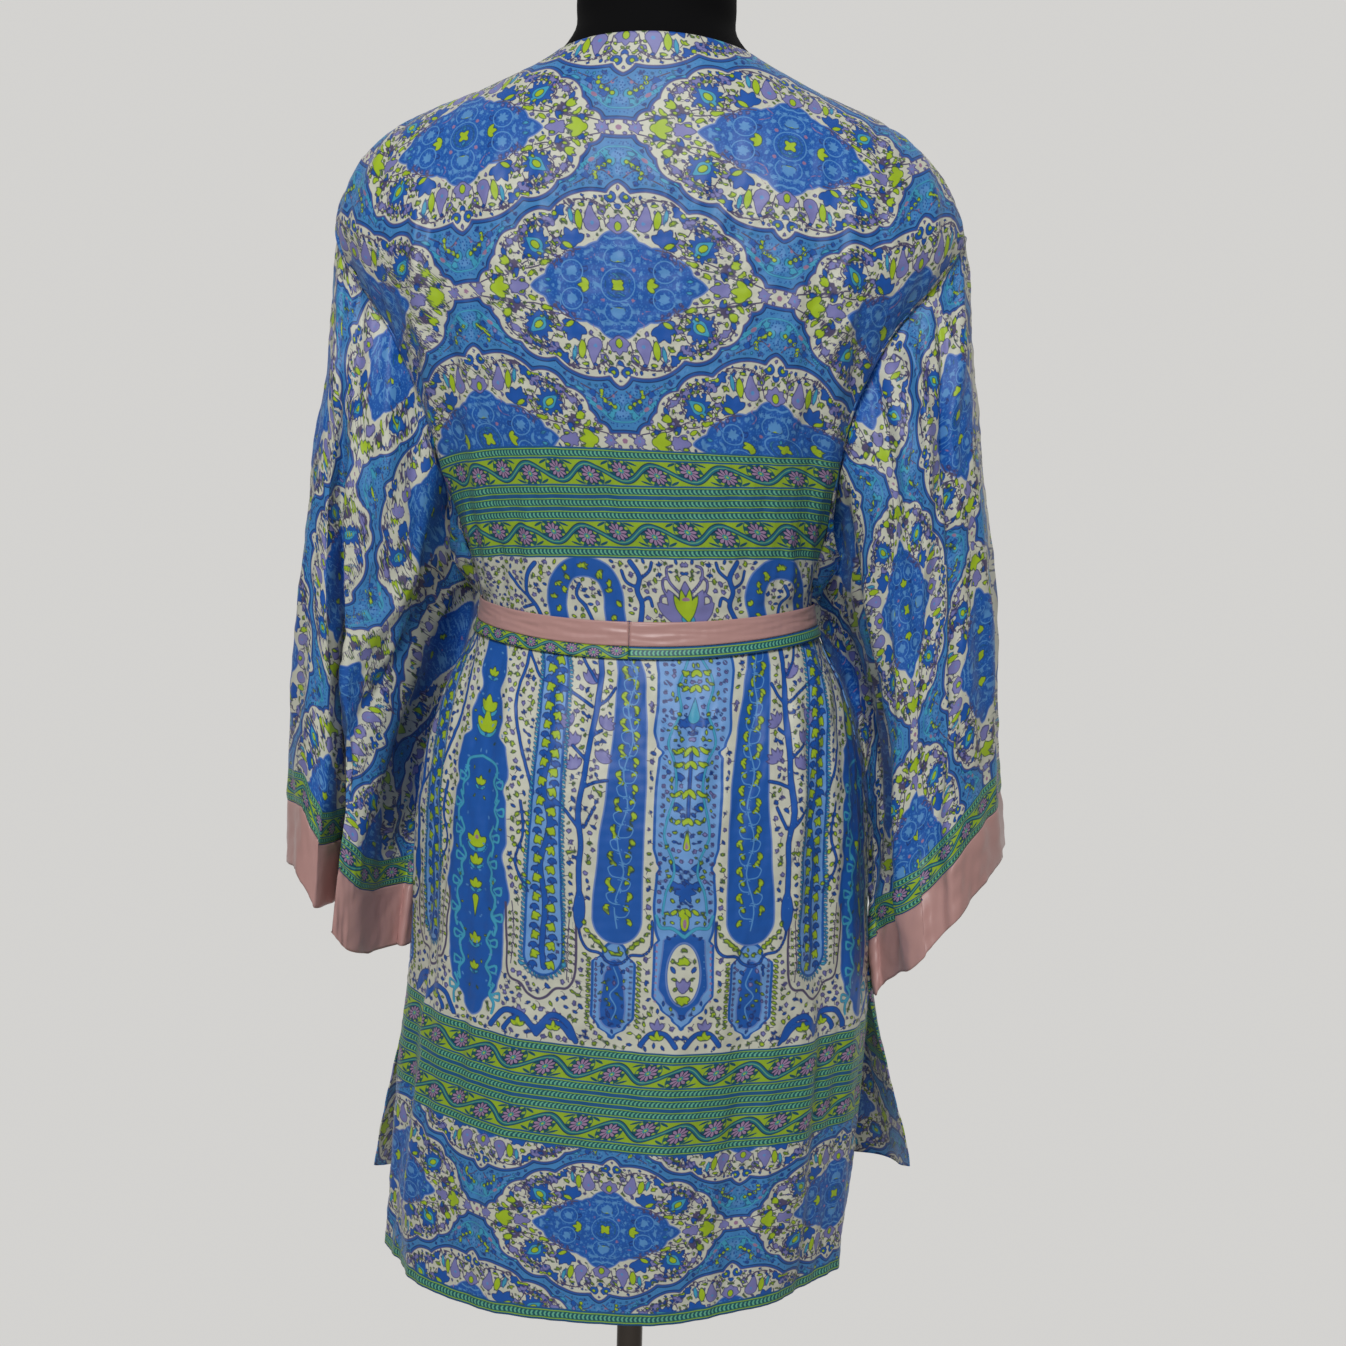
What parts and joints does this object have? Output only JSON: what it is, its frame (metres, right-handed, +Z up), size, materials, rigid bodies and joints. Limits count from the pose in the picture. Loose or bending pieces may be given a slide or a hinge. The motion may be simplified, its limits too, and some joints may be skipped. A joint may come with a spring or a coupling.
{
  "type": "kimono robe on a dress form stand",
  "caption": "Short wrap robe with wide hanging sleeves, cuff bands, side slits and a narrow tied belt, worn by a limbless dress form on a pole with a round base.",
  "frame": {"origin": "on the floor, at the centre of the round base's underside, below the form's axis", "axes": "+Z up; the robe's front faces -Y and its back +Y; the wearer's left is +X"},
  "size_m": [0.5232, 0.34, 1.456],
  "materials": {
    "printed_silk": "smooth printed silk, soft sheen",
    "border_silk": "smooth printed silk, soft sheen",
    "mauve_satin": "plain satin, soft sheen",
    "form_jersey": "matt black jersey",
    "pole_metal": "dark satin metal",
    "base_metal": "dark satin paint"
  },
  "bodies": {
    "root": {"back_panel": "printed_silk", "left_front": "printed_silk", "right_front": "printed_silk", "left_sleeve": "printed_silk", "right_sleeve": "printed_silk", "left_cuff": "mauve_satin", "right_cuff": "mauve_satin", "belt_left": "mauve_satin", "belt_right": "mauve_satin", "belt_trim_left": "border_silk", "belt_trim_right": "border_silk", "belt_knot": "mauve_satin", "belt_tail_left": "mauve_satin", "belt_tail_right": "mauve_satin", "dress_form": "form_jersey", "stand_pole": "pole_metal", "stand_base": "base_metal"}
  },
  "joints": []
}
